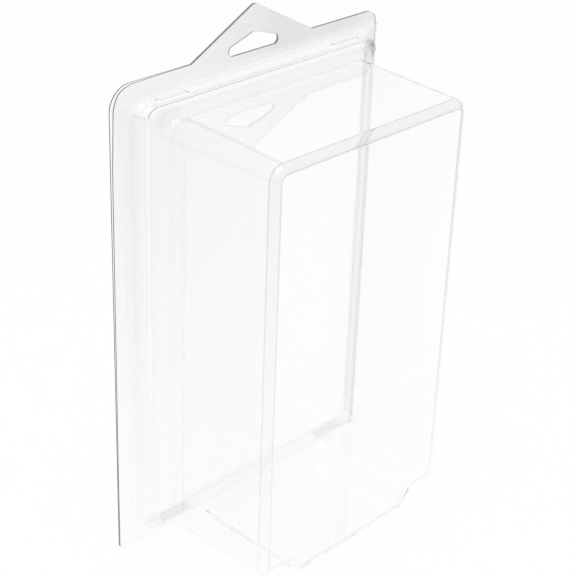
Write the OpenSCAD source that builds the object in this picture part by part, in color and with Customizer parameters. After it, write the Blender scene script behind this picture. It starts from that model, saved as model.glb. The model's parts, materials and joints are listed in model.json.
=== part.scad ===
// Clear hinged display case for a carded figure, formed from one plastic sheet in two halves.
// The front half has a stepped recess for the card and a deep blister for the figure. The back half
// has a raised panel that plugs into the recess. A fold on the right-hand edge joins them.

/* [Card] */
// Width of the backing card that the case takes
card_w = 152; // [120:1:220]
// Height of the backing card
card_h = 229; // [180:1:320]
// Play between the card and each wall of its recess
card_play = 2; // [1:0.5:4]

/* [Sheet] */
// Thickness of the formed sheet
sheet_t = 0.5; // [0.35:0.05:0.8]
// Draft of the formed walls, in degrees
draft_deg = 2.3; // [0.5:0.1:4]

/* [Flange] */
// Width of the flange on the opening side
flange_open = 14.3; // [10:0.1:25]
// Width of the flange on the hinge side, out to the fold
flange_hinge = 8.3; // [6:0.1:20]
// Height of the flange above the recess
flange_top = 11.3; // [8:0.1:25]
// Height of the flange below the recess
flange_bottom = 9.8; // [7:0.1:20]
// Corner radius at the top of the opening side
corner_open_r = 12; // [4:0.5:16]
// Corner radius at the top of the hinge side
corner_hinge_r = 7.5; // [3:0.5:12]
// Radius of the two bottom corners
corner_bottom_r = 3; // [1:0.5:6]

/* [Hang tab] */
// Width of the triangular tab at the flange's top edge
tab_w = 81; // [60:1:110]
// Height of the tab above that edge
tab_h = 21; // [16:0.5:35]
// Radius of the tab's tip
tab_tip_r = 4; // [2:0.5:8]
// Width of the delta-shaped peg hole
peg_w = 33; // [22:0.5:40]
// Height of the peg hole
peg_h = 9.5; // [8:0.5:14]
// Radius of the peg hole's three corners
peg_r = 2.6; // [1:0.1:3.5]
// How far the peg hole reaches below the flange's top edge
peg_drop = 2.2; // [0:0.1:4]

/* [Recess] */
// Depth of the card recess, outside, from the back of the flange
recess_depth = 9; // [8:0.1:14]
// Radius of the recess's two upper corners, and of all corners of the panel
recess_corner_r = 6; // [4:0.5:9]
// Radius of the recess's two lower corners
recess_low_r = 2.5; // [2:0.5:9]
// Radius of the bend where a wall rises from the flange, outside
root_r = 0.8; // [0.4:0.1:1.4]
// Radius of the recess's front edge, outside
recess_edge_r = 2; // [1:0.1:2.5]

/* [Blister] */
// Depth of the blister, in front of the recess
blister_depth = 70.1; // [30:0.1:100]
// Width of the ledge beside the blister, which the card rests against
ledge_side = 9.2; // [6.5:0.1:20]
// Width of the ledge above the blister
ledge_top = 6.8; // [5:0.1:20]
// Width of the ledge below the blister
ledge_bottom = 0.6; // [0.4:0.1:8]
// Radius of the blister's two upper corners where it leaves the ledge
blister_corner_r = 10.5; // [8:0.5:16]
// Radius of its two lower corners, which they keep up to the front edge
blister_low_r = 5; // [5:0.5:8]
// Draft of its bottom wall
draft_bottom_deg = 0.8; // [0.5:0.1:4]
// Radius of the bend between the ledge and the blister, outside
base_r = 3; // [1:0.1:4]
// Radius of the blister's front edge, outside
face_r = 4; // [2:0.1:5]

/* [Foot] */
// Width of the foot's flat sole
foot_w = 75; // [50:1:85]
// Width of the curve at each end of the sole
foot_curve_w = 9.5; // [6:0.5:12]
// Length of the curve at the back of the sole
foot_back_run = 6; // [4:0.5:15]
// Radius of the sole's front edge, outside
foot_edge_r = 6.5; // [5:0.1:9]

/* [Locks] */
// Distance from the recess's side wall to the near end of a lock
lock_inset = 9.3; // [9:0.1:14]
// Length of a lock
lock_len = 20.5; // [12:0.5:22]
// Width of a lock pocket in the front half
pocket_w = 4.4; // [3:0.1:5]
// Depth of a lock pocket
pocket_depth = 1; // [0.4:0.1:1.6]
// Width of a lock nub on the back half
nub_w = 2.6; // [2:0.1:3]
// Height of a lock nub
nub_h = 0.3; // [0.1:0.05:0.4]

/* [Back panel] */
// Height of the raised panel above the back flange
panel_h = 5.5; // [5:0.1:6.5]
// Radius of the panel's edge, outside
panel_edge_r = 1.2; // [0.8:0.1:1.6]
// Clearance between the panel and the walls of the recess
fit_clear = 0.6; // [0.4:0.05:1]

/* [Fold] */
// Radius of the bead that the sheet makes at the fold
bead_r = 0.7; // [0.65:0.05:1.2]
// Clearance between the bead and the front flange's edge
bead_clear = 0.1; // [0.05:0.05:0.3]
// Gap between the two flanges when the case is shut
flange_gap = 0.2; // [0.1:0.05:0.5]

/* [Hidden] */

clear_plastic = [0.86, 0.89, 0.90, 0.35];
$fn = 48;

// Straight pieces in each formed bend, in each corner of a formed wall and in each corner of the flange
bend_n = 3;
corner_n = 5;
rim_n = 8;

// A collar round each formed wall thins out inside the flange's own thickness and joins the two
collar_w = 3;
collar_shares = [0.3, 0.7];
window_clear = 0.3;

// Where rings of points cross a lock, from its middle to its edge
lock_long_shares = [-1, -0.87, -0.72, 0, 0.72, 0.87, 1];
lock_wide_shares = [-1, -0.5, 0, 0.5, 1];
// Where rings of points cross the curves of the foot
foot_curve_shares = [0, 0.2, 0.4, 0.6, 0.8, 1];
foot_back_shares = [0.33, 0.67, 1];
// Share of the sheet's thickness by which the foot's inside curves move inwards
foot_wall_share = 0.6;

recess_w = card_w + 2 * card_play;
recess_h = card_h + 2 * card_play;
recess_x = recess_w / 2;
recess_z0 = flange_bottom;
recess_z1 = recess_z0 + recess_h;
rim_top = recess_z1 + flange_top;
rim_left = -recess_x - flange_open;
fold_x = recess_x + flange_hinge;
front_edge_x = fold_x - bead_r - bead_clear;
// The hang tab is over the middle of the whole flange
tab_x = (rim_left + fold_x) / 2;
bend_in_r = root_r + sheet_t;
front_depth = recess_depth + blister_depth;
panel_depth = sheet_t + panel_h;
foot_x = foot_w / 2;
foot_end_x = foot_x + foot_curve_w;
lock_x = recess_x - lock_inset - lock_len / 2;
// A pocket starts just past the bend at the flange, and a nub ends just short of the panel's edge
lock_margin = 0.2;
pocket_d = bend_in_r + lock_margin + pocket_w / 2;
nub_d = panel_depth - panel_edge_r - lock_margin - nub_w / 2;

// Rest positions of the two halves along the depth: the back face of each flange
front_y = -flange_gap / 2;
back_y = flange_gap / 2 + sheet_t;
// The part's origin is under the middle of its own box
mid_x = (rim_left + fold_x + bead_r) / 2;
mid_y = (max(back_y, bead_r) + front_y - front_depth) / 2;

// Points of an arc about a centre, both ends included
function arc(cx, cz, r, from, to, n) =
    [for (k = [0 : n]) let (a = from + (to - from) * k / n) [cx + r * cos(a), cz + r * sin(a)]];

// Share that eases from 0 to 1
function ease(q) = let (c = min(1, max(0, q))) c * c * (3 - 2 * c);

// A rounded rectangle, anticlockwise from its left side. Its lower corners have the radius br and its
// upper ones tr, with points at each x of xs on both long runs.
function rounded(l, r, b, t, br, tr, xs) = concat(
    arc(l + br, b + br, br, 180, 270, corner_n), [for (x = xs) [x, b]],
    arc(r - br, b + br, br, 270, 360, corner_n),
    arc(r - tr, t - tr, tr, 0, 90, corner_n), [for (k = [len(xs) - 1 : -1 : 0]) [xs[k], t]],
    arc(l + tr, t - tr, tr, 90, 180, corner_n));

// How far a wall leans in at a depth in front of the flange, and how far the bottom wall does
function lean(d) = max(0, d - bend_in_r) * tan(draft_deg);
function low_lean(d) = lean(min(d, recess_depth)) + max(0, d - recess_depth) * tan(draft_bottom_deg);

// Inset of one side where the profile of the reference side has the inset u. The wall starts at wall,
// and the ledge is run wide on the reference side and own wide on this one.
function side_inset(u, wall, run, own) =
    u <= wall ? u : u < wall + run ? wall + (u - wall) * own / run : u - run + own;

// Corner radius at the inset u: it follows the wall, and changes from near to far over the ledge
function corner_at(u, wall, run, near, far) =
    u <= wall ? near - u
    : u < wall + run ? near - wall + (far - near) * (u - wall) / run
    : far - wall - (u - wall - run);

// Height of a lock's bulge at a point of the wall
function lock_at(x, d, mid_d, wide, high) =
    let (
        along = max(0, abs(abs(x) - lock_x) - (lock_len - wide) / 2),
        q = norm([along, d - mid_d]) * 2 / wide
    )
    q < 1 ? high * (1 + cos(180 * q)) / 2 : 0;

function sorted(list) = len(list) < 2 ? list : let (first = list[0]) concat(
    sorted([for (x = list) if (x < first) x]), [for (x = list) if (x == first) x],
    sorted([for (x = list) if (x > first) x]));

// Points across one half of a long run, outwards from the foot's end to the corner
lock_run = recess_x - recess_corner_r - foot_end_x;
lock_shares = [for (q = lock_long_shares) (lock_x - foot_end_x + q * lock_len / 2) / lock_run];
function lock_xs(end) = [for (q = lock_shares) foot_end_x + q * (end - foot_end_x)];
foot_xs = [for (q = foot_curve_shares) foot_x + q * foot_curve_w];
function reversed(list) = [for (k = [len(list) - 1 : -1 : 0]) list[k]];
function both_ways(list) = concat([for (x = reversed(list)) -x], list);

// Closed shell between an outer and an inner stack of rings, which start at the collar and end at the face
module shell_between(outer, inner) {
    m = len(outer[0]);
    n = len(outer);
    start = n * m;
    half = m / 2;
    function band(base, k, j) = let (i = (j + 1) % m)
        [base + k * m + j, base + k * m + i, base + k * m + m + i, base + k * m + m + j];
    function cap(base, j) = [base + j, base + j + 1, base + m - 2 - j, base + m - 1 - j];
    rim = [for (j = [0 : m - 1]) [j, start + j, start + (j + 1) % m, (j + 1) % m]];
    outside = concat(
        [for (k = [0 : n - 2], j = [0 : m - 1]) band(0, k, j)],
        [for (j = [0 : half - 2]) cap((n - 1) * m, j)]);
    inside = concat(
        [for (k = [0 : n - 2], j = [0 : m - 1]) band(start, k, j)],
        [for (j = [0 : half - 2]) cap(start + (n - 1) * m, j)]);
    quads = concat([for (f = outside) reversed(f)], inside, [for (f = rim) reversed(f)]);
    triangles = [for (q = quads, h = [0, 1]) h == 0 ? [q[0], q[1], q[2]] : [q[0], q[2], q[3]]];
    polyhedron(points = concat([for (r = outer) each r], [for (r = inner) each r]), faces = triangles);
}

// Front half: profile from the collar over recess, ledge and blister to the face, as [inset, depth].
// The inner surface lies one sheet behind the outer one, so its bends have the same centres.
function front_profile(t_in) =
    let (wall = t_in - sheet_t)
    concat(
        [[-bend_in_r - collar_w, sheet_t * collar_shares[t_in > 0 ? 0 : 1]]],
        arc(-bend_in_r, bend_in_r, root_r + t_in, -90, 0, bend_n),
        [for (q = lock_wide_shares) [wall, pocket_d + q * pocket_w / 2]],
        arc(recess_edge_r - sheet_t, recess_depth - recess_edge_r, recess_edge_r - t_in, 180, 90, bend_n),
        arc(ledge_side - base_r - sheet_t, recess_depth + base_r, base_r + t_in, -90, 0, bend_n),
        [for (q = foot_back_shares)
            [wall + ledge_side, recess_depth + base_r + sheet_t + q * foot_back_run]],
        [[wall + ledge_side, front_depth - foot_edge_r]],
        arc(ledge_side + face_r - sheet_t, front_depth - face_r, face_r - t_in, 180, 90, bend_n));

// Share of the foot's full drop at a point of the bottom wall
function foot_at(x, d, t_in) =
    let (in = t_in * foot_wall_share)
    ease((foot_end_x - in - abs(x)) / foot_curve_w)
    * ease((d - recess_depth - base_r - in) / foot_back_run);

// Height of the sole at a depth: it is flat up to the round of its front edge
function sole_at(d, t_in) =
    let (q = max(0, d - front_depth + foot_edge_r), r = foot_edge_r - t_in)
    foot_edge_r - sqrt(max(0, r * r - q * q));

function front_ring(u, d, t_in) =
    let (
        wall = t_in - sheet_t,
        side = side_inset(u, wall, ledge_side, ledge_side) + lean(d),
        low = recess_z0 + side_inset(u, wall, ledge_side, ledge_bottom) + low_lean(d),
        high = recess_z1 - side_inset(u, wall, ledge_side, ledge_top) - lean(d),
        br = corner_at(u, wall, ledge_side, recess_low_r, blister_low_r) - lean(min(d, recess_depth)),
        tr = corner_at(u, wall, ledge_side, recess_corner_r, blister_corner_r) - lean(d),
        xs = both_ways(sorted(concat(foot_xs, lock_xs(recess_x - side - max(br, tr)))))
    )
    [for (p = rounded(side - recess_x, recess_x - side, low, high, br, tr, xs))
        let (
            bulge = lock_at(p.x, d, pocket_d, pocket_w, pocket_depth),
            drop = foot_at(p.x, d, t_in),
            sole = low + drop * (sole_at(d, t_in) - low)
        )
        [p.x, -d, p.y > (low + high) / 2 ? p.y + bulge : p.y + sole - low - bulge]];

// Back half: profile from the collar up the wall of the raised panel to its face
function back_profile(t_in) =
    let (wall = t_in - sheet_t)
    concat(
        [[-bend_in_r - collar_w, sheet_t * collar_shares[t_in > 0 ? 0 : 1]]],
        arc(-bend_in_r, bend_in_r, root_r + t_in, -90, 0, bend_n),
        [for (q = lock_wide_shares) [wall, nub_d + q * nub_w / 2]],
        arc(panel_edge_r - sheet_t, panel_depth - panel_edge_r, panel_edge_r - t_in, 180, 90, bend_n));

panel_inset = fit_clear + sheet_t;

function back_ring(u, d, t_in) =
    let (
        side = u + panel_inset + lean(d),
        low = recess_z0 + side,
        high = recess_z1 - side,
        cr = recess_corner_r - u - lean(d),
        xs = both_ways(lock_xs(recess_x - side - cr))
    )
    [for (p = rounded(side - recess_x, recess_x - side, low, high, cr, cr, xs))
        let (bulge = lock_at(p.x, d, nub_d, nub_w, nub_h))
        [p.x, -d, p.y > (low + high) / 2 ? p.y + bulge : p.y - bulge]];

// Outline of a flange with its hang tab, out to the given right-hand edge
tab_rise = tab_h - tab_tip_r;
tab_slope = atan2(tab_rise, tab_w / 2) + asin(tab_tip_r / norm([tab_w / 2, tab_rise]));
function flange_outline(right) = concat(
    arc(rim_left + corner_bottom_r, corner_bottom_r, corner_bottom_r, 180, 270, rim_n),
    arc(right - corner_bottom_r, corner_bottom_r, corner_bottom_r, 270, 360, rim_n),
    arc(right - corner_hinge_r, rim_top - corner_hinge_r, corner_hinge_r, 0, 90, rim_n),
    [[tab_x + tab_w / 2, rim_top]],
    arc(tab_x, rim_top + tab_rise, tab_tip_r, 90 - tab_slope, 90 + tab_slope, rim_n),
    [[tab_x - tab_w / 2, rim_top]],
    arc(rim_left + corner_open_r, rim_top - corner_open_r, corner_open_r, 90, 180, rim_n));

// Delta-shaped peg hole through the tab
peg_z = rim_top - peg_drop;
peg_slope = atan2(peg_h - 2 * peg_r, peg_w / 2 - peg_r);
peg_outline = concat(
    arc(tab_x + peg_r - peg_w / 2, peg_z + peg_r, peg_r, 90 + peg_slope, 270, rim_n),
    arc(tab_x + peg_w / 2 - peg_r, peg_z + peg_r, peg_r, -90, 90 - peg_slope, rim_n),
    arc(tab_x, peg_z + peg_h - peg_r, peg_r, 90 - peg_slope, 90 + peg_slope, rim_n));

// Flat flange with the window that its formed wall rises from
module flange(right, inset, low_r) {
    window = inset - bend_in_r - window_clear;
    rotate([90, 0, 0]) linear_extrude(sheet_t) difference() {
        polygon(flange_outline(right));
        polygon(rounded(window - recess_x, recess_x - window, recess_z0 + window, recess_z1 - window,
            low_r - window, recess_corner_r - window, []));
        polygon(peg_outline);
    }
}

// Bead of the fold along the hinge line, between the two right-hand corners
module fold_bead() {
    from = corner_bottom_r + bead_r;
    to = rim_top - corner_hinge_r - bead_r;
    translate([fold_x, 0, from]) cylinder(r = bead_r, h = to - from);
}

module back_shell() {
    color(clear_plastic) translate([-mid_x, -mid_y, 0]) union() {
        translate([0, back_y, 0]) {
            flange(fold_x, panel_inset, recess_corner_r);
            shell_between([for (p = back_profile(0)) back_ring(p[0], p[1], 0)],
                [for (p = back_profile(sheet_t)) back_ring(p[0], p[1], sheet_t)]);
        }
        fold_bead();
    }
}

module front_shell() {
    color(clear_plastic) translate([-mid_x, front_y - mid_y, 0]) union() {
        flange(front_edge_x, 0, recess_low_r);
        shell_between([for (p = front_profile(0)) front_ring(p[0], p[1], 0)],
            [for (p = front_profile(sheet_t)) front_ring(p[0], p[1], sheet_t)]);
    }
}

back_shell();
front_shell();
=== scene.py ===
# %% [markdown]
# # A clear display case for a carded figure
# The real case is one sheet of clear PET, heated and drawn over a mould, then die-cut and folded into two
# halves. The front has a shallow recess for a backing card and a deep blister for a figure. The back has
# a raised panel that plugs into the recess. This lesson builds both halves as closed sheets of real
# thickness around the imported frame, gives them a clear plastic that bends light, and lights them as a
# product photographer would.

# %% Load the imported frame
import json
import math

import bpy
import numpy as np
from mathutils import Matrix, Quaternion, Vector
from mathutils.geometry import delaunay_2d_cdt


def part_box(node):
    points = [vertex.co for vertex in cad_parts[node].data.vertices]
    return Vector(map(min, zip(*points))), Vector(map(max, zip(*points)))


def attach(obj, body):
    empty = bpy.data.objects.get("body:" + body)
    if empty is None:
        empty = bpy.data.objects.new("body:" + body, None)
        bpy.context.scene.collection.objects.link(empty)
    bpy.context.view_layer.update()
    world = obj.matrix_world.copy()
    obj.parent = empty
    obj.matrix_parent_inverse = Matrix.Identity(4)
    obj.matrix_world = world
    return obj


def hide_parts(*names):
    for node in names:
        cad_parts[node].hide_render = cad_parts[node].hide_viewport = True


MM = 0.001
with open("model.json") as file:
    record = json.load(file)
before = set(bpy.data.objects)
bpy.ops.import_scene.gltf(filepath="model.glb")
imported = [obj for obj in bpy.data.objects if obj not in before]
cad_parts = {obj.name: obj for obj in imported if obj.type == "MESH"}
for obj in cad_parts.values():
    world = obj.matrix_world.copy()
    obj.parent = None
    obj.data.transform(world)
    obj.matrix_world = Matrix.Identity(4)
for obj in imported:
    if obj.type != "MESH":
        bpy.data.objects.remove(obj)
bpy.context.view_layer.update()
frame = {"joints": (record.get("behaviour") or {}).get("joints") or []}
scene = bpy.context.scene

# %% [markdown]
# ## Sizes
# All sizes below are in millimetres, as on a drawing, and the meshes are scaled to metres when they are
# made. The fold's axis comes from the frame, and so do the outer edges. In the case's own axes X is 0 at
# the middle of the recess, Y is 0 between the two flanges and the depth d runs forwards from a flange's
# back face.

# %% Sizes of the sheet and its forms
SHEET = 0.5
FLANGE_GAP = 0.2
DRAFT, DRAFT_BOTTOM = math.radians(2.3), math.radians(0.8)

RECESS_W, RECESS_H, RECESS_DEPTH = 156, 233, 9
FLANGE_HINGE, FLANGE_BOTTOM, FLANGE_TOP = 8.3, 9.8, 11.3
CORNER_OPEN, CORNER_HINGE, CORNER_BOTTOM = 12, 7.5, 3
TAB_W, TAB_TIP = 81, 4
PEG_W, PEG_H, PEG_R, PEG_DROP = 33, 9.5, 2.6, 2.2
RECESS_CORNER, BLISTER_CORNER, RECESS_LOW, BLISTER_LOW = 6, 10.5, 2.5, 5
ROOT_R, RECESS_EDGE_R, BASE_R, FACE_R, PANEL_EDGE_R = 0.8, 2, 5, 4, 1.2
LEDGE_SIDE, LEDGE_TOP, LEDGE_BOTTOM = 9.2, 6.8, 0.6
FOOT_W, FOOT_CURVE, FOOT_START, FOOT_BACK = 75, 9.5, 3, 6
FOOT_EDGE_R, FOOT_WALL_SHARE = 6.5, 0.6
LOCK_INSET, LOCK_LEN, LOCK_MARGIN = 9.3, 20.5, 0.2
POCKET_W, POCKET_DEPTH, NUB_W, NUB_H = 4.4, 1, 2.6, 0.3
PANEL_FIT, BEAD_R, BEAD_CLEAR = 0.6, 0.7, 0.1
print("sheet of", SHEET, "mm, recess of", RECESS_W, "by", RECESS_H, "mm")

# %% Places worked out from the frame and the sizes
hinge = np.array(frame["joints"][0]["pos_m"]) / MM
back_low, back_high = (np.array(corner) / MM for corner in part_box("back_shell"))
front_low, front_high = (np.array(corner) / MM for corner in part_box("front_shell"))

recess_x = RECESS_W / 2
recess_z0, recess_z1 = FLANGE_BOTTOM, FLANGE_BOTTOM + RECESS_H
rim_top = recess_z1 + FLANGE_TOP
case_x, case_y = hinge[0] - FLANGE_HINGE - recess_x, hinge[1]
fold_x = hinge[0] - case_x
rim_left = back_low[0] - case_x
tab_x = (rim_left + fold_x) / 2
tab_rise = back_high[2] - rim_top - TAB_TIP
front_depth = front_high[1] - front_low[1]
back_y, front_y = FLANGE_GAP / 2 + SHEET, -FLANGE_GAP / 2
panel_depth = back_y - (back_low[1] - case_y)
bend_in = ROOT_R + SHEET
pocket_d = bend_in + LOCK_MARGIN + POCKET_W / 2
nub_d = panel_depth - PANEL_EDGE_R - LOCK_MARGIN - NUB_W / 2
foot_end = FOOT_W / 2 + FOOT_CURVE
lock_x = recess_x - LOCK_INSET - LOCK_LEN / 2
print("depth of the front %.1f mm, height of the panel %.1f mm" % (front_depth, panel_depth - SHEET))

# %% [markdown]
# ## Rings of points
# A formed shell can be seen as a stack of rounded rectangles, each a little deeper and further in than
# the last. A profile gives the inset and depth of each ring, with an arc at every bend. The same profile
# drawn one sheet further back gives the inner surface, so the wall has an even thickness and the bends
# share their centres. Subdivision or a Solidify modifier could thicken one surface too, but neither keeps
# bends of a set radius on both sides.

# %% Helpers for arcs, eased steps and rounded rectangles
BEND_N, FACE_N, CORNER_N, RIM_N = 8, 14, 32, 16


def arc(cx, cz, r, start, stop, n, crowd=1):
    """Points on an arc, which crowd towards its end where crowd is over 1."""
    share = 1 - np.linspace(1, 0, n + 1) ** crowd
    angles = np.radians(start + (stop - start) * share)
    return np.column_stack([cx + r * np.cos(angles), cz + r * np.sin(angles)])


def ease(q):
    """Goes from 0 to 1 as q does, and starts and ends level."""
    c = np.clip(q, 0, 1)
    return c * c * (3 - 2 * c)


def level(xs, z):
    return np.column_stack([xs, np.full(len(xs), z)])


def rounded(left, right, low, high, low_r, high_r, xs):
    """A rounded rectangle, anticlockwise from its left side, with points at xs on both level runs."""
    return np.vstack([
        arc(left + low_r, low + low_r, low_r, 180, 270, CORNER_N), level(xs, low),
        arc(right - low_r, low + low_r, low_r, 270, 360, CORNER_N),
        arc(right - high_r, high - high_r, high_r, 0, 90, CORNER_N), level(xs[::-1], high),
        arc(left + high_r, high - high_r, high_r, 90, 180, CORNER_N)])


print("points on a bend:", BEND_N + 1, "and on a corner:", CORNER_N + 1)

# %% [markdown]
# ## Stations along a ring
# The locks and the foot swell only part of a ring, so the ring needs points there. Each lock has points
# that crowd at its round ends. The foot's curved ends have many, because a coarse curve of clear sheet
# draws a dark line where it turns away from the eye.

# %% Stations across the locks and the foot
LOCK_END_N, LOCK_DEEP_N, FOOT_N = 7, 13, 41

half_lock = LOCK_LEN / 2
end_shares = np.linspace(1 - POCKET_W / LOCK_LEN, 1, LOCK_END_N)
lock_shares = np.concatenate([-end_shares[::-1], [0], end_shares])
deep_shares = np.linspace(-1, 1, LOCK_DEEP_N)
foot_xs = FOOT_W / 2 + FOOT_CURVE * np.linspace(0, 1, FOOT_N)
lock_run = recess_x - RECESS_CORNER - foot_end


def lock_xs(end):
    """Stations over one lock, drawn in towards the foot as the ring's corners close in."""
    return foot_end + (lock_x + lock_shares * half_lock - foot_end) / lock_run * (end - foot_end)


def both_ways(xs):
    return np.concatenate([-xs[::-1], xs])


print("points over one lock:", len(lock_shares), "and over one curve of the foot:", len(foot_xs))

# %% How far a wall leans in and a lock stands out
def lean(d):
    return max(0, d - bend_in) * math.tan(DRAFT)


def low_lean(d):
    """How far the bottom wall leans in, which is less than the other walls of the blister."""
    return lean(min(d, RECESS_DEPTH)) + max(0, d - RECESS_DEPTH) * math.tan(DRAFT_BOTTOM)


def lock_bulge(x, d, mid_d, wide, high):
    along = np.maximum(0, abs(abs(x) - lock_x) - (LOCK_LEN - wide) / 2)
    q = np.minimum(1, np.hypot(along, d - mid_d) * 2 / wide)
    return high * (1 + np.cos(np.pi * q)) / 2


print("lean at the face: sides %.1f mm, bottom %.1f mm" % (lean(front_depth), low_lean(front_depth)))

# %% [markdown]
# ## The front half
# From the flange the sheet rises as the recess wall, turns in over a ledge that the card rests on, and
# rises again as the blister to its face. The ledge is wide at the sides, narrower above and almost
# nothing below. The foot is a wider, lower middle of the blister's bottom wall, eased with S-curves at
# its ends so that the case can stand. A box with bevels could give the same walls, but not a ledge that
# changes its width round the case.

# %% Profile of the front half
# How dark the painted shade lines at a bend's limits are, and how near to a limit a ring must be to show one
ROOT_LINE, EDGE_LINE, FACE_LINE, LINE_REACH = 0.1, 0.15, 0.5, 0.35
# A flat strip beside a bend, which keeps the shading of the flat apart from the bend's
GUARD = 0.6
# Rings crowd at the end of the face's bend, where the foot drops, and round the sole's front edge
FACE_CROWD = 2
FOOT_SHARES = np.linspace(0, 1, 8)[1:]
SOLE_SHARES = (0, 0.5, 0.8)


def stacked(runs):
    """Joins the runs of a profile; a bend's painted shade line stays only on rings close to its start or
    end.
    """
    rows = []
    for points, draw_and_shade, line, kind in runs:
        points = np.array(points)
        off = np.minimum(*(np.hypot(*(points - points[end]).T) for end in (0, -1)))
        places = np.linspace(0, 1, len(points))
        rows += [(u, d, draw_and_shade, line * (gap < LINE_REACH), kind, at)
                 for (u, d), gap, at in zip(points, off, places)]
    return rows


def front_profile(t_in):
    """Inset, depth, draw, painted bend shade line, kind and place in its run of every ring, from flange to
    face.
    """
    wall = t_in - SHEET
    flange_d, ledge_d, face_d = SHEET - t_in, RECESS_DEPTH - t_in, front_depth - t_in
    edge_u, base_u = RECESS_EDGE_R - SHEET, LEDGE_SIDE - BASE_R - SHEET
    edge_d, base_d = RECESS_DEPTH - RECESS_EDGE_R, RECESS_DEPTH + BASE_R
    blister_u, face_u = wall + LEDGE_SIDE, LEDGE_SIDE + FACE_R - SHEET
    sole_d, bend_d = front_depth - FOOT_EDGE_R, front_depth - FACE_R
    return stacked([
        ([[-bend_in - GUARD, flange_d]], 0.0, 0, "flange"),
        (arc(-bend_in, bend_in, ROOT_R + t_in, -90, 0, BEND_N), 0.4, ROOT_LINE, "root"),
        ([[wall, pocket_d + q * POCKET_W / 2] for q in deep_shares], 0.5, 0, "lock"),
        (arc(edge_u, edge_d, RECESS_EDGE_R - t_in, 180, 90, BEND_N), 0.6, EDGE_LINE, "edge"),
        ([[edge_u + GUARD, ledge_d], [base_u - GUARD, ledge_d]], 0.7, 0, "ledge"),
        (arc(base_u, base_d, BASE_R + t_in, -90, 0, FACE_N), 0.7, 0, "base"),
        ([[blister_u, base_d + SHEET + q * FOOT_BACK] for q in FOOT_SHARES], 0.8, 0, "blister"),
        ([[blister_u, sole_d + q * (bend_d - sole_d)] for q in SOLE_SHARES], 1.0, 0, "blister"),
        (arc(face_u, bend_d, FACE_R - t_in, 180, 90, FACE_N, FACE_CROWD), 1.0, FACE_LINE, "face"),
        ([[face_u + GUARD, face_d]], 1.0, 0, "flat")])


print("rings in the front half:", len(front_profile(0)))

# %% Rings of the front half
def over_ledge(u, wall, own):
    """Inset of a side whose ledge is own wide, where a side with the full ledge has the inset u."""
    if u <= wall:
        return u
    if u < wall + LEDGE_SIDE:
        return wall + (u - wall) * own / LEDGE_SIDE
    return u - LEDGE_SIDE + own


def front_corner(u, wall, recess_r, blister_r):
    """Corner radius at the inset u: it follows the walls and changes from recess to blister on the ledge."""
    over = min(max(u - wall, 0), LEDGE_SIDE)
    return recess_r - u + over + (blister_r - recess_r) * over / LEDGE_SIDE


def sole_height(u, d, t_in):
    """The sole is flat up to the round of its front edge, which ends in the face."""
    past = max(0, d - front_depth + FOOT_EDGE_R)
    on_face = max(0, u - LEDGE_SIDE - FACE_R + SHEET)
    return FOOT_EDGE_R - math.sqrt(max(0, (FOOT_EDGE_R - t_in) ** 2 - past ** 2)) + on_face


def front_ring(u, d, t_in):
    wall = t_in - SHEET
    side = u + lean(d)
    low = recess_z0 + over_ledge(u, wall, LEDGE_BOTTOM) + low_lean(d)
    high = recess_z1 - over_ledge(u, wall, LEDGE_TOP) - lean(d)
    low_r = front_corner(u, wall, RECESS_LOW, BLISTER_LOW) - lean(min(d, RECESS_DEPTH))
    high_r = front_corner(u, wall, RECESS_CORNER, BLISTER_CORNER) - lean(d)
    xs = both_ways(np.concatenate([foot_xs, lock_xs(recess_x - side - max(low_r, high_r))]))
    x, z = rounded(side - recess_x, recess_x - side, low, high, low_r, high_r, xs).T
    bulge = lock_bulge(x, d, pocket_d, POCKET_W, POCKET_DEPTH)
    nearer = t_in * FOOT_WALL_SHARE
    drop = ease((foot_end - nearer - abs(x)) / FOOT_CURVE)
    drop = drop * ease((d - RECESS_DEPTH - FOOT_START - nearer) / FOOT_BACK)
    sink = drop * (sole_height(u, d, t_in) - low)
    z = np.where(z > (low + high) / 2, z + bulge, z + sink - bulge)
    return np.column_stack([x, np.full(len(x), -d), z])


ring_size = len(front_ring(*front_profile(0)[0][:2], 0))
print("points in a ring of the front half:", ring_size)

# %% [markdown]
# ## The back half
# The back is shallower: a panel with four low nubs on its top and bottom walls, which snap into the
# pockets of the front half. It is made from rings in the same way, so that its walls keep an even gap to
# the recess that they plug into.

# %% Profile and rings of the back half
def back_profile(t_in):
    wall = t_in - SHEET
    panel_u, edge_d = PANEL_EDGE_R - SHEET, panel_depth - PANEL_EDGE_R
    return stacked([
        ([[-bend_in - GUARD, SHEET - t_in]], 0.0, 0, "flange"),
        (arc(-bend_in, bend_in, ROOT_R + t_in, -90, 0, BEND_N), 0.6, 0, "panel root"),
        ([[wall, nub_d + q * NUB_W / 2] for q in deep_shares], 0.8, 0, "nub"),
        (arc(panel_u, edge_d, PANEL_EDGE_R - t_in, 180, 90, BEND_N), 1.0, 0, "panel"),
        ([[panel_u + GUARD, panel_depth - t_in]], 1.0, 0, "panel")])


def back_ring(u, d, t_in):
    side = u + PANEL_FIT + SHEET + lean(d)
    low, high = recess_z0 + side, recess_z1 - side
    corner = RECESS_CORNER - u - lean(d)
    xs = both_ways(lock_xs(recess_x - side - corner))
    x, z = rounded(side - recess_x, recess_x - side, low, high, corner, corner, xs).T
    bulge = lock_bulge(x, d, nub_d, NUB_W, NUB_H)
    z = np.where(z > (low + high) / 2, z + bulge, z - bulge)
    return np.column_stack([x, np.full(len(x), -d), z])


print("rings in the back half:", len(back_profile(0)))

# %% [markdown]
# ## Flanges, hang tab and peg hole
# The flange is flat sheet with a die-cut outline. Its outline is a handful of arcs joined by straight
# cuts. A constrained triangulation fills the space between the outline, the peg hole and the first ring
# of the formed wall, with a loose grid of points in between so that the flange can later be bent a
# little. One large face with a hole could not bend.

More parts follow.
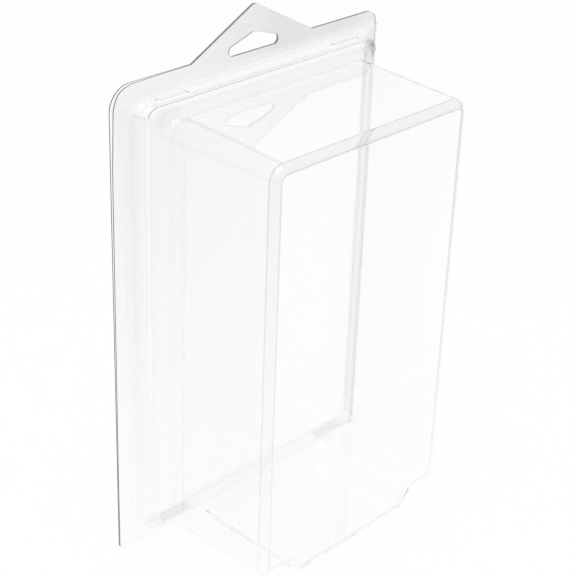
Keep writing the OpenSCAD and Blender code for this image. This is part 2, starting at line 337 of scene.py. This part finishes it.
# %% Outlines of the flange and the peg hole
def flange_outline(right):
    slope = math.atan2(tab_rise, TAB_W / 2) + math.asin(TAB_TIP / math.hypot(TAB_W / 2, tab_rise))
    slope = math.degrees(slope)
    return np.vstack([
        arc(rim_left + CORNER_BOTTOM, CORNER_BOTTOM, CORNER_BOTTOM, 180, 270, RIM_N),
        arc(right - CORNER_BOTTOM, CORNER_BOTTOM, CORNER_BOTTOM, 270, 360, RIM_N),
        arc(right - CORNER_HINGE, rim_top - CORNER_HINGE, CORNER_HINGE, 0, 90, RIM_N),
        [[tab_x + TAB_W / 2, rim_top]],
        arc(tab_x, rim_top + tab_rise, TAB_TIP, 90 - slope, 90 + slope, RIM_N),
        [[tab_x - TAB_W / 2, rim_top]],
        arc(rim_left + CORNER_OPEN, rim_top - CORNER_OPEN, CORNER_OPEN, 90, 180, RIM_N)])


def peg_outline():
    z = rim_top - PEG_DROP
    reach = PEG_W / 2 - PEG_R
    slope = math.degrees(math.atan2(PEG_H - 2 * PEG_R, reach))
    return np.vstack([
        arc(tab_x - reach, z + PEG_R, PEG_R, 90 + slope, 270, RIM_N),
        arc(tab_x + reach, z + PEG_R, PEG_R, -90, 90 - slope, RIM_N),
        arc(tab_x, z + PEG_H - PEG_R, PEG_R, 90 - slope, 90 + slope, RIM_N)])


print("outline points:", len(flange_outline(fold_x)), "peg hole points:", len(peg_outline()))

# %% Triangles between the outline, the hole and the first ring
GRID = 4.0
WELD = 1e-6


def in_steps(loop, step):
    """The loop with points added so that no piece of it is longer than step."""
    rows = []
    for a, b in zip(loop, np.roll(loop, -1, axis=0)):
        count = max(1, math.ceil(np.hypot(*(b - a)) / step))
        rows += [a + (b - a) * k / count for k in range(count)]
    return np.array(rows)


def inside(points, loop):
    """Which points lie inside a closed loop, by counting crossings."""
    x, z = points.T
    found = np.zeros(len(points), bool)
    for (ax, az), (bx, bz) in zip(loop, np.roll(loop, -1, axis=0)):
        crosses = (az > z) != (bz > z)
        rise = bz - az if bz != az else 1.0
        found ^= crosses & (x < ax + (z - az) * (bx - ax) / rise)
    return found


def flange_grid(outline, hole, ring):
    """Points on the flange in a square grid, clear of the outline, the hole and the ring."""
    steps = [np.arange(a + GRID / 2, b, GRID) for a, b in zip(outline.min(0), outline.max(0))]
    grid = np.stack(np.meshgrid(*steps), -1).reshape(-1, 2)
    off_ring = ((grid < ring.min(0) - GRID / 4) | (grid > ring.max(0) + GRID / 4)).any(1)
    grid = grid[off_ring & inside(grid, outline) & ~inside(grid, hole)]
    fixed = np.vstack([ring, outline, hole])
    gap = np.array([np.hypot(*(fixed - g).T).min() for g in grid])
    return grid[gap > GRID / 3]


def between(outline, hole, ring):
    """Grid points on the flange, and triangles over ring, outline, hole and grid points."""
    grid = flange_grid(outline, hole, ring)
    cuts, start = [], 0
    for loop in (ring, outline, hole):
        cuts += [(start + k, start + (k + 1) % len(loop)) for k in range(len(loop))]
        start += len(loop)
    points = np.vstack([ring, outline, hole, grid])
    made = delaunay_2d_cdt([Vector(p) for p in points], cuts, [], 0, WELD)
    source = [origins[0] for origins in made[3]]
    faces = np.array([[source[k] for k in face] for face in made[2]])
    middle = points[faces].mean(1)
    faces = faces[inside(middle, outline) & ~inside(middle, hole) & ~inside(middle, ring)]
    a, b, c = (points[faces[:, k]] for k in range(3))
    turned = (b - a)[:, 0] * (c - a)[:, 1] - (b - a)[:, 1] * (c - a)[:, 0] < 0
    faces[turned] = faces[turned][:, ::-1]
    return grid, faces


print("grid of the flange:", GRID, "mm")

# %% [markdown]
# ## Where the sheet looks grey
# Clear plastic is seen by its greys, which come mostly from light bent and mirrored in the sheet. Full
# sheet beside the hang tab is a little grey, and drawn sheet is thinner and clear. A bend shows as a grey
# line or band where light takes a long way through it. Here that grey is painted shade in the sheet's
# colour, as is the extra grey on the right side and high on the left side. A texture laid over the case
# would not follow its forms. So each point carries two numbers for the material. Its draw goes from 0 for
# full sheet to 1 for sheet drawn clear, and it is lowered by the painted side shade. Its bend is the painted
# bend shade, from 0 to 1 for the darkest line. They follow from the kind of form that a ring belongs to,
# and from the place on the ring.

# %% Draw of the flange and of every ring
# Middle of the thick sheet, how far it stays thick, where it is drawn clear, and a clear strip at the recess
THICK_AT, THICK_R, DRAWN_R, TOP_REACH = (40, 260), 30, 245, 4.5
# Widths of the bands along the recess's edges whose draw and painted shade differ from the rest of a ring
TOP_BAND, SIDE_BAND, LOW_BAND = 2 * RECESS_EDGE_R, 2 * LEDGE_SIDE, 8
# Least draw at the bottom, and the share of the flange's draw that the recess wall takes on the open side
LOW_DRAW, OPEN_SIDE_SHARE = 0.95, 0.8
# Painted shade: the left side greys from this height upwards, and the right side greys towards its lower end
LEFT_CLEAR, LEFT_PAINTED_SHADE, RIGHT_PAINTED_SHADE = 80, 0.45, 0.3


def flange_draw(flat):
    """The sheet is thickest beside the hang tab, and thins out away from it and towards the recess."""
    away = np.hypot(*(flat - THICK_AT).T)
    thin = np.sqrt(np.clip((away - THICK_R) / (DRAWN_R - THICK_R), 0, 1))
    above = flat[:, 1] - recess_z1 - bend_in
    return np.where(above > 0, np.maximum(thin, 1 - above / TOP_REACH), thin)


def low_part(ring, kind):
    """Points near the bottom wall. The right side's lower end is one only on the blister and its face."""
    low = ring[:, 2] < recess_z0 + LOW_BAND
    low[len(ring) // 2 - 1] = kind in ("blister", "face", "flat")
    return low


def top_part(ring):
    return ring[:, 2] > recess_z1 - TOP_BAND


def draw_and_shade_of(ring, draw_and_shade, kind):
    """Draw at every point: most at the bottom and top, lowered by painted shade at the right and high on the
    left.
    """
    x, z = ring[:, 0], ring[:, 2]
    low = low_part(ring, kind)
    draws_and_shades = np.where(low, max(draw_and_shade, LOW_DRAW), draw_and_shade)
    if kind in ("flange", "root", "lock"):
        like_flange = np.where(x < 0, OPEN_SIDE_SHARE, kind == "flange")
        draws_and_shades = np.maximum(draws_and_shades, flange_draw(ring[:, [0, 2]]) * like_flange)
    if kind in ("flange", "root", "lock", "edge", "panel root", "nub"):
        draws_and_shades = np.where(top_part(ring), 1.0, draws_and_shades)
    if kind in ("edge", "ledge", "base"):
        on_right = (x > recess_x - SIDE_BAND) & ~low
        draws_and_shades = draws_and_shades - RIGHT_PAINTED_SHADE * on_right * (recess_z1 - z) / RECESS_H
    if kind in ("ledge", "base", "blister"):
        high_up = np.clip((z - LEFT_CLEAR) / (recess_z1 - LEFT_CLEAR), 0, 1)
        draws_and_shades = draws_and_shades - LEFT_PAINTED_SHADE * high_up * (x < SIDE_BAND - recess_x)
    return draws_and_shades


print("draw of the flange at its lower left corner: %.2f" % flange_draw(np.array([[rim_left, 0]]))[0])

# %% Bend lines of every ring
# Painted shade lines: share of a line left at the bottom, and the top edge's line at its left and right end
LOW_LINE, TOP_EDGE = 0.3, (1.0, 0.6)
# Painted shade over the lower locks, which fades at their ends
LOCK_FADE, LOCK_SHADE = 4, 0.2
# Faint painted shade where the ledge turns into the blister's top wall
BASE_SHADE, BASE_SHADE_H = 0.07, 3
# Painted shade on the recess's dark upper right corner, from one point of its arc to another
CORNER_DARK, CORNER_FROM, CORNER_TO = 0.5, 1, 22
# The painted shade line along the blister's upper left corner, by its number of points
CORNER_LINE, CORNER_LINE_N = 0.2, 4
# Painted shade of the face's bend, with the heights at which it starts and is full
FACE_SHADE, FACE_CLEAR, FACE_FULL = 0.13, 60, 130


def painted_bend_shade_of(ring, line, kind, at):
    """Painted bend shade of a ring's points: soft at the bottom, dark at the recess's top edge and right
    corner.
    """
    x, z = ring[:, 0], ring[:, 2]
    low = low_part(ring, kind)
    painted_bend_shades = np.where(low, LOW_LINE, 1.0) * line
    if kind == "edge":
        crest = (at == 0.5) * np.interp(x, (-recess_x, recess_x), TOP_EDGE)
        painted_bend_shades = np.where(top_part(ring), crest, painted_bend_shades)
    if kind in ("root", "lock", "edge"):
        on_lock = ease((half_lock + LOCK_FADE / 2 - abs(abs(x) - lock_x)) / LOCK_FADE)
        painted_bend_shades = painted_bend_shades + LOCK_SHADE * low * on_lock
    if kind == "base":
        painted_bend_shades = painted_bend_shades + BASE_SHADE * (z > recess_z1 - LEDGE_TOP - BASE_SHADE_H)
    if kind in ("lock", "edge", "ledge"):
        upper_right = len(ring) // 2
        painted_bend_shades[upper_right + CORNER_FROM:upper_right + CORNER_TO] = CORNER_DARK
    if kind == "blister":
        upper_left = len(ring) - CORNER_N - 1
        painted_bend_shades[upper_left:upper_left + CORNER_LINE_N] = CORNER_LINE
    if kind == "face":
        painted_bend_shades = np.maximum(painted_bend_shades, FACE_SHADE * ease((z - FACE_CLEAR) / (FACE_FULL - FACE_CLEAR)))
    return painted_bend_shades


print("darkest bend line, along the recess's top edge:", max(TOP_EDGE))

# %% [markdown]
# ## The gape at the top of the opening side
# The two flanges aren't sealed, so the front one springs open a little at its free top corner, and the
# gap fades along the top edge and down the side. A lattice or a bend modifier could do it, but a short
# formula moves only the flange and leaves the recess where it is.

# %% How far the front flange springs open
# Widest gape, its reach along the top edge, and the heights at which it starts and starts to widen
GAPE, GAPE_ALONG, GAPE_FROM, GAPE_CORNER = 2.2, 48, 50, 205
# Share of the gape that grows evenly with height, and how much of an eased step the flange's bend takes
SLOW_SHARE, BEND_SHARE = 0.45, 0.75


def gape(x, z):
    side = np.clip((-recess_x - bend_in - x) / (-recess_x - bend_in - rim_left), 0, 1)
    above = np.clip((z - recess_z1 - bend_in) / (FLANGE_TOP - bend_in), 0, 1)
    along = np.clip(1 - (x - rim_left) / GAPE_ALONG, 0, 1) ** 2
    up = SLOW_SHARE * np.clip((z - GAPE_FROM) / (rim_top - GAPE_FROM), 0, 1)
    up = up + (1 - SLOW_SHARE) * ease((z - GAPE_CORNER) / (rim_top - GAPE_CORNER))
    return -GAPE * ease(np.maximum(side, above) * BEND_SHARE) / ease(BEND_SHARE) * along * up


def no_lift(x, z):
    return np.zeros(len(x))


print("gape half-way up the opening side: %.2f mm" % -gape(rim_left, rim_top / 2))

# %% [markdown]
# ## One closed sheet
# Flange, formed walls and face are joined into a single closed mesh with both skins and the cut edge
# between them, because glass-like shaders only bend light rightly through closed walls. A single skin
# would be quicker to make, but it would look like the surface of a solid block of plastic.

# %% Points of one half, with their looks
def sheet_points(profile, ring_at, flat):
    """Points, draws and painted bend shades of the outer skin, rings first and flange last, then of the
    inner skin.
    """
    points, draws_and_shades, painted_bend_shades = [], [], []
    for t_in in (0, SHEET):
        for u, d, draw_and_shade, line, kind, at in profile(t_in):
            ring = ring_at(u, d, t_in)
            points.append(ring)
            draws_and_shades.append(draw_and_shade_of(ring, draw_and_shade, kind))
            painted_bend_shades.append(painted_bend_shade_of(ring, line, kind, at))
        points.append(np.column_stack([flat[:, 0], np.full(len(flat), t_in - SHEET), flat[:, 1]]))
        draws_and_shades.append(flange_draw(flat))
        painted_bend_shades.append(np.zeros(len(flat)))
    return np.vstack(points), np.concatenate(draws_and_shades), np.concatenate(painted_bend_shades)


print("points in the walls of the front half:", 2 * len(front_profile(0)) * ring_size)

# %% Faces of one half
def skin_faces(n, m, triangles):
    """Faces of a skin with n rings of m points: flange, bands from ring to ring, and the flat middle."""
    on_flange = np.where(triangles < m, triangles, triangles + (n - 1) * m)
    step = np.arange(m)
    after = (step + 1) % m
    band = np.column_stack([step, after, m + after, m + step])
    bands = [k * m + band for k in range(n - 1)]
    j = np.arange(m // 2 - 1)
    cap = (n - 1) * m + np.column_stack([j, j + 1, m - 2 - j, m - 1 - j])
    return on_flange.tolist() + np.vstack([*bands, cap]).tolist()


def edge_faces(start, size, outline, hole):
    """Faces of the die-cut edges, which join the outer skin's loops to the inner skin's."""
    faces = []
    for loop, is_hole in ((outline, False), (hole, True)):
        near = start + np.arange(len(loop))
        far = np.roll(near, -1)
        walls = np.column_stack([near, far, far + size, near + size])
        faces += (walls if is_hole else walls[:, ::-1]).tolist()
        start += len(loop)
    return faces


print("faces in the flat middle of the front half:", ring_size // 2 - 1)

# %% One half as a mesh
def sheet_mesh(name, profile, ring_at, right, base_y, lift):
    """A closed sheet. Cut edges take the second finish, painted dark shade, apart from the edge the case
    stands on.
    """
    rows = profile(0)
    first = ring_at(*rows[0][:2], 0)[:, [0, 2]]
    outline, hole = in_steps(flange_outline(right), GRID), in_steps(peg_outline(), GRID)
    grid, triangles = between(outline, hole, first)
    points, draws_and_shades, painted_bend_shades = sheet_points(profile, ring_at, np.vstack([outline, hole, grid]))
    points[:, 1] += base_y + lift(points[:, 0], points[:, 2])

    n, m, size = len(rows), len(first), len(points) // 2
    outer = skin_faces(n, m, triangles)
    inner = [[k + size for k in face[::-1]] for face in outer]
    edges = edge_faces(n * m, size, outline, hole)
    mesh = bpy.data.meshes.new(name)
    where = (points + [case_x, case_y, 0]) * MM
    mesh.from_pydata(where.tolist(), [], outer + inner + edges)
    for key, values in (("draw_and_shade", draws_and_shades), ("bend", painted_bend_shades)):
        mesh.attributes.new(key, "FLOAT", "POINT").data.foreach_set("value", values.astype(np.float32))
    middle = (outline + np.roll(outline, -1, axis=0)) / 2
    # Cut edges above the bottom take the painted dark shade; the edge on the floor keeps the clear sheet
    dark = np.concatenate([middle[:, 1] > CORNER_BOTTOM / 2, np.ones(len(hole), bool)])
    index = np.zeros(len(mesh.polygons), np.int32)
    index[-len(edges):] = dark
    mesh.polygons.foreach_set("material_index", index)
    return mesh


front_right = fold_x - BEAD_R - BEAD_CLEAR
front_mesh = sheet_mesh("clear_front", front_profile, front_ring, front_right, front_y, gape)
back_sheet = sheet_mesh("clear_back", back_profile, back_ring, fold_x, back_y, no_lift)
print("faces in front and back:", len(front_mesh.polygons), len(back_sheet.polygons))

# %% [markdown]
# ## The bead at the fold
# Where the sheet is folded it makes a thin round bead, which belongs to the back half. A Boolean joins
# the rod to the closed sheet, so that no wall is left inside the plastic.

# %% Join the bead to the back half
BEAD_N = 24


def with_bead(mesh):
    """The back half's mesh joined with the bead that the sheet makes at the fold."""
    low, high = CORNER_BOTTOM + BEAD_R, rim_top - CORNER_HINGE - BEAD_R
    angles = np.linspace(0, 2 * np.pi, BEAD_N, endpoint=False)
    circle = np.column_stack([fold_x + BEAD_R * np.cos(angles), BEAD_R * np.sin(angles)])
    points = np.vstack([np.column_stack([circle, np.full(BEAD_N, z)]) for z in (low, high)])
    step = np.arange(BEAD_N)
    after = (step + 1) % BEAD_N
    sides = np.column_stack([step, after, BEAD_N + after, BEAD_N + step]).tolist()
    ends = [step[::-1].tolist(), (BEAD_N + step).tolist()]
    rod = bpy.data.meshes.new("bead")
    rod.from_pydata(((points + [case_x, case_y, 0]) * MM).tolist(), [], sides + ends)
    holder, bead = (bpy.data.objects.new(part.name, part) for part in (mesh, rod))
    for part in (holder, bead):
        scene.collection.objects.link(part)
    join = holder.modifiers.new("fold", "BOOLEAN")
    join.operation, join.solver, join.object = "UNION", "EXACT", bead
    joined = bpy.data.meshes.new_from_object(holder.evaluated_get(bpy.context.evaluated_depsgraph_get()))
    for part in (holder, bead):
        bpy.data.objects.remove(part)
    return joined


back_mesh = with_bead(back_sheet)
print("faces in the back with its bead:", len(back_mesh.polygons))

# %% [markdown]
# ## Clear plastic
# The sheet is PET, thermoformed: glass-clear and glossy, with an IOR near 1.57. Its grey is painted in its
# colour from the draw and the bend that each point carries. That is a faint grey for full sheet, and painted
# shade at the bends and on the greyer sides. The mould leaves a faint waviness, made here as bump, and
# handling leaves the gloss a little uneven, made as a small change of roughness. Real scuffs are finer than
# a pixel, so the uneven gloss is drawn coarser than it is. Lamps reach through the sheet, so shadow rays
# meet a clear film instead of glass, which would cast a dark shadow.

# %% Colour and node helpers
def linear(hex_colour):
    """An sRGB hex colour as linear RGBA."""
    values = [int(hex_colour[k:k + 2], 16) / 255 for k in (1, 3, 5)]
    return (*[v / 12.92 if v <= 0.04045 else ((v + 0.055) / 1.055) ** 2.4 for v in values], 1.0)


def add_node(tree, kind, inputs=None, **settings):
    """Adds one node: inputs are values or another node's outputs, settings are its own properties."""
    made = tree.nodes.new(kind)
    for key, value in settings.items():
        setattr(made, key, value)
    for key, value in (inputs or {}).items():
        if isinstance(value, bpy.types.NodeSocket):
            tree.links.new(value, made.inputs[key])
        else:
            made.inputs[key].default_value = value
    return made


def blank_material(name):
    material = bpy.data.materials.new(name)
    material.use_nodes = True
    material.node_tree.nodes.clear()
    return material, material.node_tree


print("mid grey in linear light: %.3f" % linear("#808080")[0])

# %% The clear sheet
# The bend colour is painted shade for the grey lines and bands at bends
THICK_AND_SHADE_TINT, DRAWN_TINT, PAINTED_BEND_SHADE = linear("#f1f1f2"), linear("#fefefe"), linear("#a8a8ac")
FILM_TINT = linear("#f2f4f5")
PET_IOR = 1.57
# Waves of the mould: length and height in mm
WAVE_MM, WAVE_HIGH, WAVE_STRENGTH = 14, 0.25, 0.25
# Scuffs: size in mm, the range of the noise over which they set in, and roughness without and with them
SCUFF_MM, SCUFF_LOW, SCUFF_HIGH = 2.5, 0.45, 0.8
GLOSS, SCUFFED = 0.015, 0.06


def thermoformed_pet():
    material, tree = blank_material("thermoformed PET")
    place = add_node(tree, "ShaderNodeTexCoord").outputs["Object"]
    draw_and_shade = add_node(tree, "ShaderNodeAttribute", attribute_name="draw_and_shade").outputs["Fac"]
    bend = add_node(tree, "ShaderNodeAttribute", attribute_name="bend").outputs["Fac"]
    # Tint from the draw, which also carries painted shade on the greyer sides
    tint_and_shade = add_node(tree, "ShaderNodeMix", {
        "Factor": draw_and_shade, "A": THICK_AND_SHADE_TINT, "B": DRAWN_TINT}, data_type="RGBA")
    # Painted bend shade laid over the tint
    with_painted_bend_shade = add_node(tree, "ShaderNodeMix", {
        "Factor": bend, "A": tint_and_shade.outputs["Result"], "B": PAINTED_BEND_SHADE}, data_type="RGBA")
    waves = add_node(tree, "ShaderNodeTexNoise", {
        "Vector": place, "Scale": 1 / (WAVE_MM * MM), "Detail": 1.0})
    scuffs = add_node(tree, "ShaderNodeTexNoise", {
        "Vector": place, "Scale": 1 / (SCUFF_MM * MM), "Detail": 3.0})
    rough = add_node(tree, "ShaderNodeMapRange", {
        "Value": scuffs.outputs["Fac"], "From Min": SCUFF_LOW, "From Max": SCUFF_HIGH,
        "To Min": GLOSS, "To Max": SCUFFED})
    bump = add_node(tree, "ShaderNodeBump", {
        "Height": waves.outputs["Fac"], "Strength": WAVE_STRENGTH, "Distance": WAVE_HIGH * MM})
    plastic = add_node(tree, "ShaderNodeBsdfPrincipled", {
        "Base Color": with_painted_bend_shade.outputs["Result"], "Roughness": rough.outputs["Result"],
        "Normal": bump.outputs["Normal"], "IOR": PET_IOR, "Transmission Weight": 1.0})
    film = add_node(tree, "ShaderNodeBsdfTransparent", {"Color": FILM_TINT})
    path = add_node(tree, "ShaderNodeLightPath")
    either = add_node(tree, "ShaderNodeMixShader", {
        0: path.outputs["Is Shadow Ray"], 1: plastic.outputs[0], 2: film.outputs[0]})
    add_node(tree, "ShaderNodeOutputMaterial", {"Surface": either.outputs[0]})
    return material


clear_sheet = thermoformed_pet()
print(clear_sheet.name, "has", len(clear_sheet.node_tree.nodes), "nodes")

# %% [markdown]
# ## The cut edge
# A die shears the sheet, and the cut is left rough and dull. It sends little light to the eye, and the dark
# line that it shows round the flanges and the peg hole is painted shade: a near-black colour on the cut.

# %% Finish of the cut edge
# The cut edge's near-black colour is painted shade; its roughness and gleam are its own
EDGE_PAINTED_SHADE, EDGE_ROUGH, EDGE_GLEAM = linear("#141516"), 0.4, 0.2


def shaded_cut_edge():
    material, tree = blank_material("die-cut PET edge with painted shade")
    plastic = add_node(tree, "ShaderNodeBsdfPrincipled", {
        "Base Color": EDGE_PAINTED_SHADE, "Roughness": EDGE_ROUGH, "Specular IOR Level": EDGE_GLEAM})
    add_node(tree, "ShaderNodeOutputMaterial", {"Surface": plastic.outputs[0]})
    return material


finishes = [clear_sheet, shaded_cut_edge()]
print("finishes:", [finish.name for finish in finishes])

# %% [markdown]
# ## Both halves in place
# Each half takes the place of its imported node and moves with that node's body. Smooth shading suits the
# bends, and weighted normals keep the large flat walls flat up to the bends beside them.

# %% Make both halves
SHARP = math.radians(40)


def show(name, mesh, body, node, materials):
    """Shades a half smooth apart from its cut edges, and puts it in its CAD node's place."""
    for material in materials:
        mesh.materials.append(material)
    mesh.shade_smooth()
    mesh.set_sharp_from_angle(angle=SHARP)
    piece = bpy.data.objects.new(name, mesh)
    scene.collection.objects.link(piece)
    weighted = piece.modifiers.new("flat faces keep their normals", "WEIGHTED_NORMAL")
    weighted.mode = "FACE_AREA_WITH_ANGLE"
    weighted.keep_sharp = True
    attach(piece, body)
    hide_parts(node)
    return piece


front = show("clear_front", front_mesh, "front", "front_shell", finishes)
back = show("clear_back", back_mesh, "back", "back_shell", finishes)
print("pieces:", [piece.name for piece in (front, back)])

# %% [markdown]
# ## The camera
# The photograph looks at the case from its front left and above, with a long lens. The place, the lens
# and a slight roll come from edges of the case matched in the photograph.

# %% Camera
CAMERA_AZIMUTH, CAMERA_ELEVATION, CAMERA_ROLL = (math.radians(angle) for angle in (-46.53, 28.157, 2.144))
CAMERA_DISTANCE, CAMERA_LENS = 770.84, 96.217
CAMERA_AIM = Vector((-4.73, 6.16, 136.91)) * MM

backwards = Vector((
    math.sin(CAMERA_AZIMUTH) * math.cos(CAMERA_ELEVATION),
    -math.cos(CAMERA_AZIMUTH) * math.cos(CAMERA_ELEVATION),
    math.sin(CAMERA_ELEVATION)))
camera = bpy.data.objects.new("camera", bpy.data.cameras.new("camera"))
camera.data.lens = CAMERA_LENS
camera.location = CAMERA_AIM + backwards * CAMERA_DISTANCE * MM
camera.rotation_mode = "QUATERNION"
camera.rotation_quaternion = (-backwards).to_track_quat("-Z", "Y") @ Quaternion((0, 0, 1), CAMERA_ROLL)
scene.collection.objects.link(camera)
scene.camera = camera
print("camera at", [round(value, 3) for value in camera.location])

# %% [markdown]
# ## Floor and studio
# Clear plastic shows what is around it more than itself. The floor and the world are white where they are
# seen straight on or through the case. In a mirroring surface the floor is a white table that turns grey
# further off, and the room is a little dimmer at the horizon than overhead, so bends and edges read as
# grey. A small share of the floor stays plain paint, which keeps the case's soft shadow.

# %% Floor
FLOOR_R, FLOOR_DROP, FLOOR_SIDES = 8, 0.2 * MM, 96
# In metres: middle of the mirrored white table, where it starts to grey and where it is fully grey
TABLE_AT = (0.6, 0.6, 0.0)
TABLE_R, ROOM_R, ROOM_GREY = 1.5, 2.2, 0.5
GLOW_SHARE = 0.9
WHITE, FLOOR_PAINT = linear("#ffffff"), linear("#f4f4f4")


def floor_material():
    material, tree = blank_material("white sweep")
    path = add_node(tree, "ShaderNodeLightPath").outputs
    place = add_node(tree, "ShaderNodeTexCoord").outputs["Object"]
    off = add_node(tree, "ShaderNodeVectorMath", {0: place, 1: TABLE_AT}, operation="DISTANCE")
    table = add_node(tree, "ShaderNodeMapRange", {
        "Value": off.outputs["Value"], "From Min": TABLE_R, "From Max": ROOM_R, "To Min": 1.0,
        "To Max": ROOM_GREY}, interpolation_type="SMOOTHSTEP").outputs["Result"]
    strength = add_node(tree, "ShaderNodeMix", {"Factor": path["Glossy Depth"], "A": 1.0, "B": table})
    seen = add_node(tree, "ShaderNodeMath", {
        0: path["Is Camera Ray"], 1: path["Is Transmission Ray"]}, operation="MAXIMUM")
    seen = add_node(tree, "ShaderNodeMath", {
        0: seen.outputs[0], 1: path["Is Glossy Ray"]}, operation="MAXIMUM")
    share = add_node(tree, "ShaderNodeMath", {0: seen.outputs[0], 1: GLOW_SHARE}, operation="MULTIPLY")
    glow = add_node(tree, "ShaderNodeEmission", {"Color": WHITE, "Strength": strength.outputs["Result"]})
    paint = add_node(tree, "ShaderNodeBsdfDiffuse", {"Color": FLOOR_PAINT})
    mix = add_node(tree, "ShaderNodeMixShader", {
        0: share.outputs[0], 1: paint.outputs[0], 2: glow.outputs[0]})
    add_node(tree, "ShaderNodeOutputMaterial", {"Surface": mix.outputs[0]})
    return material


turn = np.linspace(0, 2 * np.pi, FLOOR_SIDES, endpoint=False)
floor_mesh = bpy.data.meshes.new("floor")
rim = [(FLOOR_R * math.cos(a), FLOOR_R * math.sin(a), -FLOOR_DROP) for a in turn]
floor_mesh.from_pydata(rim, [], [list(range(len(rim)))])
floor_mesh.materials.append(floor_material())
floor = bpy.data.objects.new("floor", floor_mesh)
scene.collection.objects.link(floor)
print("floor radius", FLOOR_R, "m")

# %% Studio world
# Mirrored brightness at the horizon, the upward slope at which it is white, and the light on matt surfaces
HORIZON, WHITE_ABOVE, FILL_LIGHT = 0.85, 0.4, 0.7


def studio_world():
    world = bpy.data.worlds.new("studio")
    world.use_nodes = True
    tree = world.node_tree
    tree.nodes.clear()
    path = add_node(tree, "ShaderNodeLightPath").outputs
    way = add_node(tree, "ShaderNodeTexCoord").outputs["Generated"]
    up = add_node(tree, "ShaderNodeSeparateXYZ", {0: way}).outputs["Z"]
    room = add_node(tree, "ShaderNodeMapRange", {
        "Value": up, "From Min": 0.0, "From Max": WHITE_ABOVE, "To Min": HORIZON,
        "To Max": 1.0}, interpolation_type="SMOOTHSTEP").outputs["Result"]
    seen = add_node(tree, "ShaderNodeMix", {"Factor": path["Glossy Depth"], "A": 1.0, "B": room})
    strength = add_node(tree, "ShaderNodeMix", {
        "Factor": path["Is Diffuse Ray"], "A": seen.outputs["Result"], "B": FILL_LIGHT})
    sky = add_node(tree, "ShaderNodeBackground", {
        "Color": WHITE, "Strength": strength.outputs["Result"]})
    add_node(tree, "ShaderNodeOutputWorld", {"Surface": sky.outputs[0]})
    return world


scene.world = studio_world()
scene.view_settings.view_transform = "Standard"
print("world:", scene.world.name, "view transform:", scene.view_settings.view_transform)

# %% [markdown]
# ## Light inside the sheet
# Light that enters a bend can be mirrored many times between the two skins before it leaves. Cycles
# drops a ray after four mirrorings, which would draw a black line along each tight bend, so clear sheet
# needs more of them.

# %% Bounces
BOUNCES = 96
scene.cycles.max_bounces = scene.cycles.transmission_bounces = BOUNCES
scene.cycles.glossy_bounces = BOUNCES
print("bounces:", scene.cycles.max_bounces)

# %% [markdown]
# ## Soft light overhead
# One large, weak area lamp gives the soft shadow on the floor. It is kept out of mirroring surfaces,
# because a bright square in the blister's top would hide the form.

# %% Lamp
LAMP_SIZE, LAMP_WATTS = 1.2, 12
LAMP_AT = Vector((-0.3, -0.2, 1.5))
lamp = bpy.data.objects.new("overhead softbox", bpy.data.lights.new("overhead softbox", "AREA"))
lamp.data.size, lamp.data.energy = LAMP_SIZE, LAMP_WATTS
lamp.location = LAMP_AT
lamp.visible_glossy = False
lamp.rotation_mode = "QUATERNION"
lamp.rotation_quaternion = (-LAMP_AT).to_track_quat("-Z", "Y")
scene.collection.objects.link(lamp)
print("lamp", LAMP_WATTS, "W")
